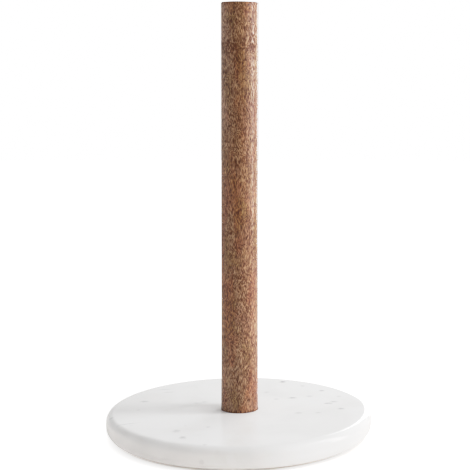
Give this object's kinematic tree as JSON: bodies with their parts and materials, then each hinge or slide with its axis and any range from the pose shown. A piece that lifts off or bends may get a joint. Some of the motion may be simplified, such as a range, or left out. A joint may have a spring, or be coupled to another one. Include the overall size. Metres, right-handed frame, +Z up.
{
  "type": "paper towel holder",
  "caption": "Upright paper towel holder: a straight round wooden dowel bolted to a round, soft-edged marble base on rubber pads.",
  "frame": {"origin": "middle of the base, on the surface that the rubber pads stand on", "axes": "+Z up along the dowel; the object is round, and -Y is taken as its front"},
  "size_m": [0.19, 0.19, 0.308],
  "materials": {
    "mango_wood": "satin",
    "white_marble": "satin",
    "zinc_alloy": "satin",
    "plated_steel": "satin",
    "spring_steel": "satin",
    "red_fibre": "matte",
    "black_rubber": "matte"
  },
  "bodies": {
    "root": {"wood_dowel": "mango_wood", "marble_base": "white_marble", "threaded_insert": "zinc_alloy", "base_bolt": "plated_steel", "flat_washer": "plated_steel", "spring_washer": "spring_steel", "fibre_washer": "red_fibre", "foot_pad_front_left": "black_rubber", "foot_pad_front_right": "black_rubber", "foot_pad_back_left": "black_rubber", "foot_pad_back_right": "black_rubber"}
  },
  "joints": []
}
